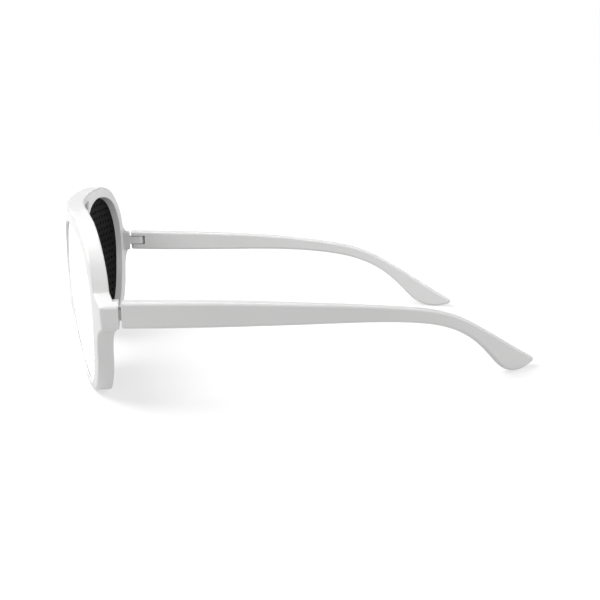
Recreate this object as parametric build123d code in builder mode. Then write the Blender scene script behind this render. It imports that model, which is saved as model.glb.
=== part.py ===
from build123d import *
import os

# Pinhole glasses with an aviator front, in millimetres.
# They stand on the rim bottoms and the temple tips at z = 0 and face -Y, with +X on the wearer's left.
# The origin is under the middle of the open glasses.

# Main sizes, measured from the seam where the temples meet the front
front_bulge = 20.5
temple_reach = 141.0
half_width = 72.3

# The front follows a ball, flatter behind, and bulges forwards most at this height
face_radius = 185.0
back_radius = 204.0
bulge_z = 38.0
frame_depth = 6.2

# Lens openings and the rims around them
lens_gap = 16.6
lens_width = 56.2
lens_height = 51.3
rim_width = 2.7
rim_outer_width = 3.2
brow_width = 4.3
lens_shares = (
    (0.456, 1.0), (0.674, 0.978), (0.856, 0.902), (0.966, 0.752), (1.0, 0.581), (0.968, 0.385),
    (0.872, 0.182), (0.746, 0.054), (0.589, 0.0), (0.397, 0.066), (0.230, 0.210), (0.087, 0.431),
    (0.009, 0.651), (0.023, 0.800), (0.121, 0.918), (0.313, 0.986),
)

# Long curves are laid in this many runs, so that no face goes all the way round
curve_runs = 8

# Outline points as shares of one rim's width and height
lower_rim_shares = (
    (-0.026, 0.663), (0.017, 0.589), (0.060, 0.441), (0.145, 0.274), (0.283, 0.123), (0.428, 0.034),
    (0.580, 0.0), (0.739, 0.040), (0.863, 0.141), (0.934, 0.239),
)
upper_rim_shares = ((0.919, 0.819), (0.828, 0.903), (0.700, 0.965), (0.557, 0.992))
brow_flat_share = 0.441

# Bridge, and the window between it and the brow bar
bridge_under_z = 41.2
bridge_height = 2.8
brow_bar_height = 2.8
window_corner_shares = (-0.009, 0.733)
window_side_shares = ((0.008, 0.773), (0.032, 0.821), (0.064, 0.861), (0.106, 0.900))
window_top_share = 0.172
window_round = 1.2
window_corner_round = 0.4

# Endpieces, with points as shares of their reach past the lens and of the temple's root height
hinge_z = 31.2
root_height = 7.9
flare_below_shares = ((0.27, -1.28), (0.55, -0.82))
flare_above_shares = ((0.43, 0.77), (0.335, 0.99), (0.15, 1.53))
endpiece_low_share = -0.56
endpiece_high_share = 0.34
endpiece_round = 1.3
block_depth = 3.6
block_inset = 0.9
block_round = 0.5

# Rounded edges
front_round = 0.9
opening_round = 0.5
rear_round = 0.4
temple_round = 0.9

# Temples, with points as shares of their reach and of the height of the root's top
temple_top_shares = (
    (0.184, 0.965), (0.338, 0.925), (0.500, 0.867), (0.640, 0.791), (0.701, 0.743), (0.765, 0.654),
    (0.833, 0.504), (0.909, 0.310),
)
temple_tip_shares = (1.0055, 0.070)
temple_under_shares = (
    (0.183, 0.743), (0.338, 0.725), (0.500, 0.704), (0.641, 0.652), (0.701, 0.605), (0.766, 0.509),
    (0.835, 0.313), (0.873, 0.155), (0.900, 0.056), (0.942, 0.001), (0.982, 0.025),
)
bend_back = 50.0
bend_inset = 1.3
bend_thickness = 3.8
tip_inset = 26.3
tip_thickness = 4.2
tip_round = 1.0

# Hinges: a tongue on the front turns on a screw between the two ears of the temple
seam_gap = 0.8
pin_back = 4.1
knuckle_radius = 1.95
tongue_height = 3.2
slot_gap = 0.2
outer_wall = 1.1
ear_round = 1.2
screw_radius = 0.7
screw_fit = 0.03
tongue_fit = 0.06
head_radius = 1.15
head_height = 0.8
head_fit = 0.08
head_recess = 0.2
driver_width = 0.35
driver_depth = 0.4
screw_cover = 0.9
screw_end_gap = 0.1
screw_point = 0.2

# Perforated panels in a groove of each rim, black behind and white in front
panel_recess = 1.0
panel_thickness = 1.2
groove_reach = 0.9
groove_gap = 0.15
hole_radius = 0.62
hole_pitch = 3.1
hole_row_share = 0.866
hole_start_shares = (0.480, 0.500)
hole_margin = 1.5

overrun = 2.0

seam_y = (front_bulge - temple_reach) / 2
butt_y = seam_y - seam_gap / 2
root_y = seam_y + seam_gap / 2
face_y = seam_y - front_bulge
face_centre = (0, face_y + face_radius, bulge_z)
back_centre = (0, face_y + frame_depth + back_radius, bulge_z)
butt_plane = Plane.XZ.offset(-butt_y)
pin_y = seam_y + pin_back
pin_x = half_width - outer_wall - slot_gap - knuckle_radius
inner_x = pin_x - knuckle_radius
tip_y = seam_y + temple_reach * temple_tip_shares[0]
bend_x = half_width - bend_inset
bend_y = seam_y + bend_back
tip_x = half_width - tip_inset
root_top_z = hinge_z + root_height / 2
root_under_z = hinge_z - root_height / 2
tongue_under_z = hinge_z - tongue_height / 2
lens_left = lens_gap / 2
lens_right = lens_left + lens_width
rim_left = lens_left - rim_width
rim_span = lens_width + rim_width + rim_outer_width
rim_height = rim_width + lens_height + brow_width
panel_radius = face_radius - panel_recess
panel_rear_radius = panel_radius - panel_thickness


def lens_point(shares, growth=0):
    x = lens_left - growth + (lens_width + 2 * growth) * shares[0]
    z = rim_width - growth + (lens_height + 2 * growth) * shares[1]
    return (x, z)


def rim_point(shares):
    return (rim_left + rim_span * shares[0], rim_height * shares[1])


def endpiece_point(shares):
    return (lens_right + (half_width - lens_right) * shares[0], hinge_z + root_height * shares[1])


def temple_point(shares):
    return (seam_y + temple_reach * shares[0], root_top_z * shares[1])


def in_runs(curve):
    return [curve.trim(run / curve_runs, (run + 1) / curve_runs) for run in range(curve_runs)]


def lens_shape(growth):
    # The lens opening's outline, made larger all round by the growth
    points = [lens_point(shares, growth) for shares in lens_shares]
    with BuildSketch() as shape:
        with BuildLine():
            add(in_runs(Spline(points, periodic=True, mode=Mode.PRIVATE)))
        make_face()
    return shape.sketch


# Profiles of the front, seen from the front
lens = lens_shape(0)

with BuildSketch() as window:
    corner = rim_point(window_corner_shares)
    top_end = (rim_left + rim_span * window_top_share, rim_height - brow_bar_height)
    with BuildLine():
        Spline(corner, *[rim_point(shares) for shares in window_side_shares], top_end)
        mirror(about=Plane.YZ)
        Line((-top_end[0], top_end[1]), top_end)
        ThreePointArc((-corner[0], corner[1]), (0, bridge_under_z + bridge_height), corner)
    make_face()
    fillet(window.vertices().group_by(Axis.Y)[-1], window_round)
    fillet(window.vertices().group_by(Axis.Y)[0], window_corner_round)

with BuildSketch() as outline:
    low = endpiece_point((1, endpiece_low_share))
    high = endpiece_point((1, endpiece_high_share))
    flare_above = [endpiece_point(shares) for shares in flare_above_shares]
    flare_slope = (flare_above[0][0] - high[0], flare_above[0][1] - high[1])
    brow_end = rim_point((brow_flat_share, 1))
    right_under = [rim_point(shares) for shares in lower_rim_shares]
    right_under += [endpiece_point(shares) for shares in flare_below_shares]
    right_under.append(low)
    left_under = [(-x, z) for x, z in reversed(right_under)]
    with BuildLine():
        Line(low, high)
        Line(high, flare_above[0])
        Spline(*flare_above, *[rim_point(shares) for shares in upper_rim_shares], brow_end,
               tangents=[flare_slope, (-1, 0)])
        mirror(about=Plane.YZ)
        Line((-brow_end[0], brow_end[1]), brow_end)
        add(in_runs(Spline(*left_under, (0, bridge_under_z), *right_under, mode=Mode.PRIVATE)))
    make_face()
    sides = outline.vertices().group_by(Axis.X)
    fillet(sides[0] + sides[-1], endpiece_round)

with BuildSketch() as front_profile:
    add(outline.sketch)
    add(lens, mode=Mode.SUBTRACT)
    mirror(lens, about=Plane.YZ, mode=Mode.SUBTRACT)
    add(window.sketch, mode=Mode.SUBTRACT)

with BuildSketch() as block_profile:
    add(outline.sketch)
    with Locations((inner_x - block_inset, root_under_z)):
        Rectangle(half_width, root_height, align=(Align.MIN, Align.MIN), mode=Mode.INTERSECT)
    fillet(block_profile.vertices().group_by(Axis.X)[0], block_round)

groove_shape = lens_shape(groove_reach)
inside_shape = lens_shape(-overrun)
with BuildSketch() as groove_profile:
    add(groove_shape)
    add(inside_shape, mode=Mode.SUBTRACT)

# The holes run straight back, all whole and clear of the rim
hole_zone = lens_shape(-hole_margin).face()
hole_start = lens_point(hole_start_shares)
row_step = hole_pitch * hole_row_share
rows = int(lens_height / row_step / 2)
columns = int(lens_width / hole_pitch / 2) + 1
holes = []
for row in range(-rows, rows + 1):
    for column in range(-columns, columns + 1):
        place = (hole_start[0] + hole_pitch * (column + row % 2 / 2), hole_start[1] + row_step * row)
        if hole_zone.is_inside(place):
            holes.append(place)

panel_shape = lens_shape(groove_reach - groove_gap)
with BuildSketch() as panel_profile:
    add(panel_shape)
    with Locations(*holes):
        Circle(hole_radius, mode=Mode.SUBTRACT)


def shell_cut(profile, outer_radius, inner_radius, inner_centre=face_centre):
    # The profile pushed forwards from behind the seam and kept between two balls
    with BuildPart() as cut:
        with BuildSketch(butt_plane.offset(-overrun)):
            add(profile)
        extrude(amount=front_bulge + overrun + overrun)
        with Locations(face_centre):
            Sphere(outer_radius, mode=Mode.INTERSECT)
        with Locations(inner_centre):
            Sphere(inner_radius, mode=Mode.SUBTRACT)
    return cut.part


# Front frame, with an endpiece block and a hinge tongue behind each end
groove = shell_cut(groove_profile.sketch, panel_radius + groove_gap, panel_rear_radius - groove_gap)

with BuildPart() as front_frame:
    add(shell_cut(front_profile.sketch, face_radius, back_radius, back_centre))
    face = front_frame.faces().filter_by(GeomType.SPHERE).sort_by(Axis.Y)[0]
    fillet(face.outer_wire().edges(), front_round)
    face = front_frame.faces().filter_by(GeomType.SPHERE).sort_by(Axis.Y)[0]
    fillet([edge for wire in face.inner_wires() for edge in wire.edges()], opening_round)
    back = front_frame.faces().filter_by(GeomType.SPHERE).sort_by(Axis.Y)[-1]
    fillet(back.edges(), rear_round)
    split(bisect_by=butt_plane)
    with BuildSketch(butt_plane):
        add(block_profile.sketch)
        mirror(block_profile.sketch, about=Plane.YZ)
    extrude(amount=block_depth)
    add(groove, mode=Mode.SUBTRACT)
    mirror(groove, about=Plane.YZ, mode=Mode.SUBTRACT)
    with BuildSketch(Plane.XY.offset(tongue_under_z)) as tongue:
        with Locations((pin_x, pin_y)):
            Circle(knuckle_radius)
            Rectangle(2 * knuckle_radius, pin_back + block_depth / 2, align=(Align.CENTER, Align.MAX))
            Circle(screw_radius + tongue_fit, mode=Mode.SUBTRACT)
        mirror(about=Plane.YZ)
    extrude(amount=tongue_height)

# Pinhole panels
with BuildPart() as left_pinhole_panel:
    add(shell_cut(panel_profile.sketch, panel_radius, panel_rear_radius))

with BuildPart() as right_pinhole_panel:
    mirror(left_pinhole_panel.part, about=Plane.YZ)

# Temples: the side view pushed across, kept inside the view from above
fork_under_z = tongue_under_z - slot_gap

with BuildPart() as left_temple:
    with BuildSketch(Plane.YZ):
        with BuildLine():
            Spline((root_y, root_top_z), *[temple_point(shares) for shares in temple_top_shares],
                   temple_point(temple_tip_shares))
            Spline((root_y, root_under_z), *[temple_point(shares) for shares in temple_under_shares],
                   temple_point(temple_tip_shares))
            Line((root_y, root_under_z), (root_y, root_top_z))
        side = make_face()
        fillet(side.vertices().sort_by(Axis.X)[-1], tip_round)
    extrude(amount=half_width + overrun)
    with BuildSketch(Plane.XY.offset(-overrun)):
        with BuildLine():
            outer_run = Line((half_width, root_y), (bend_x, bend_y))
            outer_bend = TangentArc(outer_run @ 1, (tip_x, tip_y), tangent=outer_run % 1)
            inner_run = Line((inner_x, root_y), (bend_x - bend_thickness, bend_y))
            inner_bend = TangentArc(inner_run @ 1, (tip_x - tip_thickness, tip_y), tangent=inner_run % 1)
            Line(outer_bend @ 1, inner_bend @ 1)
            Line(outer_run @ 0, inner_run @ 0)
        make_face()
    extrude(amount=root_top_z + overrun + overrun, mode=Mode.INTERSECT)
    root = left_temple.faces().sort_by(Axis.Y)[0]
    fillet(root.edges().filter_by(Axis.Z).sort_by(Axis.X)[0], ear_round)
    root = left_temple.faces().sort_by(Axis.Y)[0]
    fillet(left_temple.edges() - root.edges(), temple_round)
    with BuildSketch(Plane.XY.offset(fork_under_z)):
        with Locations((half_width - outer_wall, pin_y + knuckle_radius + slot_gap)):
            Rectangle(half_width, temple_reach, align=(Align.MAX, Align.MAX))
    extrude(amount=tongue_height + 2 * slot_gap, mode=Mode.SUBTRACT)
    with BuildSketch(Plane.XY.offset(root_under_z - overrun)):
        with Locations((pin_x, pin_y)):
            Circle(screw_radius + screw_fit)
    extrude(amount=root_height - screw_cover + overrun, mode=Mode.SUBTRACT)
    with BuildSketch(Plane.XY.offset(root_under_z - overrun)):
        with Locations((pin_x, pin_y)):
            Circle(head_radius + head_fit)
    extrude(amount=overrun + head_recess + head_height, mode=Mode.SUBTRACT)

with BuildPart() as right_temple:
    mirror(left_temple.part, about=Plane.YZ)

# Hinge screws, put in from below and blind at the top
with BuildPart() as left_hinge_screw:
    with BuildSketch(Plane.XY.offset(root_under_z + head_recess)):
        with Locations((pin_x, pin_y)):
            Circle(head_radius)
    extrude(amount=head_height)
    with BuildSketch(Plane.XY.offset(root_under_z + head_recess)):
        with Locations((pin_x, pin_y)):
            Circle(screw_radius)
    extrude(amount=root_height - head_recess - screw_cover - screw_end_gap)
    chamfer(left_hinge_screw.faces().sort_by(Axis.Z)[-1].edges(), screw_point)
    with BuildSketch(Plane.XY.offset(root_under_z + head_recess)):
        with Locations((pin_x, pin_y)):
            Rectangle(2 * head_radius, driver_width)
    extrude(amount=driver_depth, mode=Mode.SUBTRACT)

with BuildPart() as right_hinge_screw:
    mirror(left_hinge_screw.part, about=Plane.YZ)

os.makedirs("parts", exist_ok=True)
pieces = {
    "front_frame": front_frame,
    "left_temple": left_temple,
    "right_temple": right_temple,
    "left_hinge_screw": left_hinge_screw,
    "right_hinge_screw": right_hinge_screw,
    "left_pinhole_panel": left_pinhole_panel,
    "right_pinhole_panel": right_pinhole_panel,
}
for name, piece in pieces.items():
    piece.part.label = name
    export_step(piece.part, f"parts/{name}.step")
    print(name, len(piece.solids()), round(piece.part.volume, 1), piece.part.bounding_box())
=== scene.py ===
import bpy
from mathutils import Matrix, Vector


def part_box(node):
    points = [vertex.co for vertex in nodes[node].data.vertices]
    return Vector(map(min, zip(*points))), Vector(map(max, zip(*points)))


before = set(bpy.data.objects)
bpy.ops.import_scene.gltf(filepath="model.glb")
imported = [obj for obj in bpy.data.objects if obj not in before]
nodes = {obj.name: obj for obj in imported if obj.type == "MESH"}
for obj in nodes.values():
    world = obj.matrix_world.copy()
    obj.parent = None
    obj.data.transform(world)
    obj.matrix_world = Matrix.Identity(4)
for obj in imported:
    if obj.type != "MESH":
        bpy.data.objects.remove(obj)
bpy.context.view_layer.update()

# Pinhole glasses in white plastic, seen from the wearer's left and a little in front
print("frame loaded:", ", ".join(sorted(nodes)))

# Place and turn come from fitting the glasses to the photograph's middle view
camera = {
    "place": (0.33191, -0.04846, 0.09547),
    "forward": (-0.966684, 0.148779, -0.208297),
    "up": (-0.204404, 0.041169, 0.978021),
    "focalPixels": 894.2,
    "imagePixels": 600.0,
    "middleX": 293.67,
    "middleY": 281.39,
    "sensor": 36.0,  # millimetres
    "nearest": 0.01,
    "farthest": 30.0,
}


def addCamera(spec):
    data = bpy.data.cameras.new("studioCamera")
    rig = bpy.data.objects.new("studioCamera", data)
    bpy.context.scene.collection.objects.link(rig)
    forward = Vector(spec["forward"]).normalized()
    right = forward.cross(Vector(spec["up"])).normalized()
    up = right.cross(forward)
    turn = Matrix((right, up, -forward)).transposed().to_4x4()
    rig.matrix_world = Matrix.Translation(spec["place"]) @ turn
    data.sensor_fit = "HORIZONTAL"
    data.sensor_width = spec["sensor"]
    data.lens = spec["focalPixels"] / spec["imagePixels"] * spec["sensor"]
    halfImage = spec["imagePixels"] / 2
    data.shift_x = (halfImage - spec["middleX"]) / spec["imagePixels"]
    data.shift_y = (spec["middleY"] - halfImage) / spec["imagePixels"]
    data.clip_start = spec["nearest"]
    data.clip_end = spec["farthest"]
    bpy.context.scene.camera = rig


addCamera(camera)
print("camera set")

nodeSpacing = 240  # one cell of the shader editor, across and up


def newMaterial(name):
    material = bpy.data.materials.new(name)
    material.use_nodes = True
    material.node_tree.nodes.clear()
    return material, material.node_tree


def addNode(tree, kind, cell, values=None, **settings):
    node = tree.nodes.new(kind)
    node.location = [step * nodeSpacing for step in cell]
    for key, value in settings.items():
        setattr(node, key, value)
    for key, value in (values or {}).items():
        node.inputs[key].default_value = value
    return node


mouldedNoise = {
    "tone": {"Detail": 3.0, "Roughness": 0.55},
    "toneSpread": {"From Min": 0.35, "From Max": 0.65},
    "grain": {"Detail": 4.0, "Roughness": 0.6},
    "flow": {"Detail": 2.0, "Roughness": 0.5, "Distortion": 1.6},
}


# Moulded plastic: slow tone change, fine grain, and flow marks that show only in the gloss
def buildMouldedSurface(spec):
    tree = bpy.data.node_groups.new("mouldedSurface", "ShaderNodeTree")
    color, number = "NodeSocketColor", "NodeSocketFloat"
    sockets = (
        ("Base", "INPUT", color), ("Shade", "INPUT", color),
        ("Tone Scale", "INPUT", number), ("Grain Scale", "INPUT", number),
        ("Flow Scale", "INPUT", number), ("Flow Share", "INPUT", number),
        ("Roughness Low", "INPUT", number), ("Roughness High", "INPUT", number),
        ("Color", "OUTPUT", color), ("Roughness", "OUTPUT", number), ("Height", "OUTPUT", number),
    )
    for name, side, kind in sockets:
        tree.interface.new_socket(name=name, in_out=side, socket_type=kind)
    link = tree.links.new
    given = addNode(tree, "NodeGroupInput", (-4, 0))
    result = addNode(tree, "NodeGroupOutput", (0, 0))
    coordinates = addNode(tree, "ShaderNodeTexCoord", (-4, -1))
    tone = addNode(tree, "ShaderNodeTexNoise", (-3, 1), spec["tone"])
    grain = addNode(tree, "ShaderNodeTexNoise", (-3, 0), spec["grain"])
    flow = addNode(tree, "ShaderNodeTexNoise", (-3, -1), spec["flow"])
    for texture, scale in ((tone, "Tone Scale"), (grain, "Grain Scale"), (flow, "Flow Scale")):
        link(coordinates.outputs["Object"], texture.inputs["Vector"])
        link(given.outputs[scale], texture.inputs["Scale"])
    spread = addNode(tree, "ShaderNodeMapRange", (-2, 1), spec["toneSpread"])
    mixTone = addNode(tree, "ShaderNodeMix", (-1, 1), data_type="RGBA")
    link(tone.outputs["Fac"], spread.inputs["Value"])
    link(spread.outputs["Result"], mixTone.inputs["Factor"])
    link(given.outputs["Base"], mixTone.inputs["A"])
    link(given.outputs["Shade"], mixTone.inputs["B"])
    share = addNode(tree, "ShaderNodeMix", (-2, 0), data_type="FLOAT")
    rough = addNode(tree, "ShaderNodeMix", (-1, 0), data_type="FLOAT")
    link(given.outputs["Flow Share"], share.inputs["Factor"])
    link(grain.outputs["Fac"], share.inputs["A"])
    link(flow.outputs["Fac"], share.inputs["B"])
    link(share.outputs["Result"], rough.inputs["Factor"])
    link(given.outputs["Roughness Low"], rough.inputs["A"])
    link(given.outputs["Roughness High"], rough.inputs["B"])
    link(mixTone.outputs["Result"], result.inputs["Color"])
    link(rough.outputs["Result"], result.inputs["Roughness"])
    link(grain.outputs["Fac"], result.inputs["Height"])
    return tree


mouldedSurface = buildMouldedSurface(mouldedNoise)


def addMoulding(tree, cell, values):
    return addNode(tree, "ShaderNodeGroup", cell, values, node_tree=mouldedSurface)


def addShader(tree, color, roughness, height, gloss, bumpDepth):
    link = tree.links.new
    bump = addNode(tree, "ShaderNodeBump", (1, -1), {"Strength": 1.0, "Distance": bumpDepth})
    shader = addNode(tree, "ShaderNodeBsdfPrincipled", (2, 0), gloss)
    surface = addNode(tree, "ShaderNodeOutputMaterial", (3, 0))
    link(color, shader.inputs["Base Color"])
    link(roughness, shader.inputs["Roughness"])
    link(height, bump.inputs["Height"])
    link(bump.outputs["Normal"], shader.inputs["Normal"])
    link(shader.outputs["BSDF"], surface.inputs["Surface"])
    return shader


# Satin plastic of the front and both temples
whitePlastic = {
    "moulding": {
        "Base": (0.43, 0.43, 0.428, 1.0), "Shade": (0.418, 0.418, 0.416, 1.0),
        "Tone Scale": 26.0, "Grain Scale": 2400.0, "Flow Scale": 60.0, "Flow Share": 0.55,
        "Roughness Low": 0.26, "Roughness High": 0.42,
    },
    "gloss": {"Metallic": 0.0, "IOR": 1.5, "Coat Weight": 0.1, "Coat Roughness": 0.15},
    "grainDepth": 0.000012,
}


def makeWhitePlastic(name, spec):
    material, tree = newMaterial(name)
    moulding = addMoulding(tree, (0, 0), spec["moulding"]).outputs
    addShader(tree, moulding["Color"], moulding["Roughness"], moulding["Height"],
              spec["gloss"], spec["grainDepth"])
    return material


# The panels are black sheet with a white front that runs halfway into the holes. The black half
# of each hole's wall is painted darker than the back, as painted shade in the holes. The sheet is
# a shell of a ball, so a point's distance from the ball's centre says how deep in the sheet it
# lies.
panelSheet = {
    "white": {
        "Base": (0.9, 0.9, 0.9, 1.0), "Shade": (0.86, 0.86, 0.86, 1.0),
        "Tone Scale": 30.0, "Grain Scale": 2600.0, "Flow Scale": 80.0, "Flow Share": 0.3,
        "Roughness Low": 0.45, "Roughness High": 0.6,
    },
    "black": {
        "Base": (0.004, 0.004, 0.004, 1.0), "Shade": (0.006, 0.006, 0.006, 1.0),
        "Tone Scale": 45.0, "Grain Scale": 2600.0, "Flow Scale": 80.0, "Flow Share": 0.5,
        "Roughness Low": 0.42, "Roughness High": 0.62,
    },
    # painted shade: the hole walls in the black half get a darker black than the sheet's back
    "holeWallPaintedShade": (0.0003, 0.0003, 0.0003, 1.0),
    "gloss": {"Metallic": 0.0, "IOR": 1.45, "Specular IOR Level": 0.02},
    "grainDepth": 0.00002,
    "ballCentre": (0.0, 0.10425, 0.038),
    "frontRadius": 0.184,
    "sheet": 0.0012,
    "whiteShare": 0.5,
    # depth share past which the hole walls get the painted shade
    "wallShadeShare": 0.95,
}


def makePanelSheet(name, spec):
    material, tree = newMaterial(name)
    link = tree.links.new
    coordinates = addNode(tree, "ShaderNodeTexCoord", (-4, -2))
    fromCentre = addNode(tree, "ShaderNodeVectorMath", (-3, -2), {1: spec["ballCentre"]},
                         operation="DISTANCE")
    link(coordinates.outputs["Object"], fromCentre.inputs[0])
    masks = {}
    # the second mask marks the hole walls that get painted shade
    for row, share in enumerate(("whiteShare", "wallShadeShare")):
        depth = spec["frontRadius"] - spec["sheet"] * spec[share]
        mask = addNode(tree, "ShaderNodeMath", (-2, -2 - row), {1: depth},
                       operation="GREATER_THAN")
        link(fromCentre.outputs["Value"], mask.inputs[0])
        masks[share] = mask.outputs["Value"]
    white = addMoulding(tree, (-3, 1), spec["white"]).outputs
    black = addMoulding(tree, (-3, 0), spec["black"]).outputs
    # painted shade: the hole walls in the black half are darkened below the back's black
    blackWithWallShade = addNode(tree, "ShaderNodeMix", (-2, 0), {"B": spec["holeWallPaintedShade"]},
                        data_type="RGBA")
    link(masks["wallShadeShare"], blackWithWallShade.inputs["Factor"])
    link(black["Color"], blackWithWallShade.inputs["A"])
    layers = (
        ("RGBA", blackWithWallShade.outputs["Result"], white["Color"]),
        ("FLOAT", black["Roughness"], white["Roughness"]),
        ("FLOAT", black["Height"], white["Height"]),
    )
    mixed = []
    for row, (kind, behind, inFront) in enumerate(layers):
        mix = addNode(tree, "ShaderNodeMix", (-1, 1 - row), data_type=kind)
        link(masks["whiteShare"], mix.inputs["Factor"])
        link(behind, mix.inputs["A"])
        link(inFront, mix.inputs["B"])
        mixed.append(mix.outputs["Result"])
    addShader(tree, *mixed, spec["gloss"], spec["grainDepth"])
    return material


# Turned steel: rings about the screw's own axis
screwSteel = {
    "tones": {"A": (0.42, 0.42, 0.43, 1.0), "B": (0.66, 0.66, 0.67, 1.0)},
    "roughness": {"A": 0.2, "B": 0.38},
    "rings": {"Scale": 5200.0, "Distortion": 0.6, "Detail": 2.0},
    "ringDepth": 0.000008,
    "gloss": {"Metallic": 1.0},
}


def makeScrewSteel(name, node, spec):
    material, tree = newMaterial(name)
    link = tree.links.new
    low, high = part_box(node)
    middle = (low + high) / 2
    coordinates = addNode(tree, "ShaderNodeTexCoord", (-4, 0))
    centred = addNode(tree, "ShaderNodeMapping", (-3, 0), {"Location": -middle},
                      vector_type="POINT")
    rings = addNode(tree, "ShaderNodeTexWave", (-2, 0), spec["rings"],
                    wave_type="RINGS", rings_direction="Z")
    mixTone = addNode(tree, "ShaderNodeMix", (-1, 1), spec["tones"], data_type="RGBA")
    mixRough = addNode(tree, "ShaderNodeMix", (-1, 0), spec["roughness"], data_type="FLOAT")
    link(coordinates.outputs["Object"], centred.inputs["Vector"])
    link(centred.outputs["Vector"], rings.inputs["Vector"])
    link(rings.outputs["Fac"], mixTone.inputs["Factor"])
    link(rings.outputs["Fac"], mixRough.inputs["Factor"])
    addShader(tree, mixTone.outputs["Result"], mixRough.outputs["Result"], rings.outputs["Fac"],
              spec["gloss"], spec["ringDepth"])
    return material


def dress(node, material):
    slots = nodes[node].data.materials
    slots.clear()
    slots.append(material)
    print("dressed", node, "with", material.name)


frontPlastic = makeWhitePlastic("whiteFrontPlastic", whitePlastic)
templePlastic = makeWhitePlastic("whiteTemplePlastic", whitePlastic)
panelMaterial = makePanelSheet("blackPanelWhiteFront", panelSheet)
dress("front_frame", frontPlastic)
for side in ("left", "right"):
    dress(side + "_temple", templePlastic)
    dress(side + "_pinhole_panel", panelMaterial)
    screw = side + "_hinge_screw"
    dress(screw, makeScrewSteel(side + "ScrewSteel", screw, screwSteel))

floorSheet = {
    "size": 2.4,
    "cuts": 4,
    "drop": 0.0002,
    "paper": {
        "Base": (0.25, 0.25, 0.25, 1.0), "Shade": (0.24, 0.24, 0.24, 1.0),
        "Tone Scale": 3.0, "Grain Scale": 400.0, "Flow Scale": 10.0, "Flow Share": 0.2,
        "Roughness Low": 0.85, "Roughness High": 0.95,
    },
    "gloss": {"Metallic": 0.0, "IOR": 1.3, "Specular IOR Level": 0.1,
              "Emission Color": (1.0, 1.0, 1.0, 1.0)},
    "grainDepth": 0.00003,
    "glow": {"From Min": 0.1, "From Max": 0.7, "To Min": 0.62, "To Max": 0.98},
}


# The floor glows a little, more so far out, so its edge is lost in the white behind it
def layFloor(spec):
    bpy.ops.object.select_all(action="DESELECT")
    bpy.ops.mesh.primitive_grid_add(x_subdivisions=spec["cuts"], y_subdivisions=spec["cuts"],
                                    size=spec["size"], location=(0, 0, -spec["drop"]))
    floor = bpy.context.active_object
    floor.name = "paperFloor"
    material, tree = newMaterial("floorPaper")
    link = tree.links.new
    paper = addMoulding(tree, (0, 0), spec["paper"]).outputs
    shader = addShader(tree, paper["Color"], paper["Roughness"], paper["Height"],
                       spec["gloss"], spec["grainDepth"])
    coordinates = addNode(tree, "ShaderNodeTexCoord", (-1, -2))
    fromMiddle = addNode(tree, "ShaderNodeVectorMath", (0, -2), operation="LENGTH")
    glow = addNode(tree, "ShaderNodeMapRange", (1, -2), spec["glow"],
                   interpolation_type="SMOOTHSTEP")
    link(coordinates.outputs["Object"], fromMiddle.inputs[0])
    link(fromMiddle.outputs["Value"], glow.inputs["Value"])
    link(glow.outputs["Result"], shader.inputs["Emission Strength"])
    floor.data.materials.append(material)


layFloor(floorSheet)
print("floor laid")

lamps = (
    {"name": "topLamp", "place": (0.0, 0.1, 1.6), "aim": (0.0, 0.0, 0.0),
     "size": 2.8, "power": 11.0},
    {"name": "browLamp", "place": (0.0, -0.32, 0.42), "aim": (0.0, -0.06, 0.05),
     "size": 0.4, "power": 4.8},
    {"name": "sideLamp", "place": (1.8, 0.0, 0.8), "aim": (0.0, 0.0, 0.03),
     "size": 1.4, "power": 12.5},
    {"name": "backLamp", "place": (0.3, 1.8, 0.7), "aim": (0.0, 0.0, 0.03),
     "size": 2.0, "power": 28.0},
)


def hangLamp(spec):
    data = bpy.data.lights.new(spec["name"], "AREA")
    data.shape = "DISK"
    data.size = spec["size"]
    data.energy = spec["power"]
    lamp = bpy.data.objects.new(spec["name"], data)
    lamp.location = spec["place"]
    towards = Vector(spec["aim"]) - Vector(spec["place"])
    lamp.rotation_euler = towards.to_track_quat("-Z", "Y").to_euler()
    bpy.context.scene.collection.objects.link(lamp)


for lampSpec in lamps:
    hangLamp(lampSpec)
print("lamps hung")

whiteSky = {"color": (1.0, 1.0, 1.0, 1.0), "light": 0.35, "seen": 1.0}


# The sky lights softly, and shows as plain white behind the floor
def makeSky(spec):
    world = bpy.data.worlds.new("whiteSky")
    bpy.context.scene.world = world
    world.use_nodes = True
    tree = world.node_tree
    tree.nodes.clear()
    link = tree.links.new
    path = addNode(tree, "ShaderNodeLightPath", (-2, 0))
    strength = addNode(tree, "ShaderNodeMix", (-1, 0), {"A": spec["light"], "B": spec["seen"]},
                       data_type="FLOAT")
    sky = addNode(tree, "ShaderNodeBackground", (0, 0), {"Color": spec["color"]})
    result = addNode(tree, "ShaderNodeOutputWorld", (1, 0))
    link(path.outputs["Is Camera Ray"], strength.inputs["Factor"])
    link(strength.outputs["Result"], sky.inputs["Strength"])
    link(sky.outputs["Background"], result.inputs["Surface"])


makeSky(whiteSky)
bpy.context.scene.view_settings.view_transform = "Standard"
print("sky set")
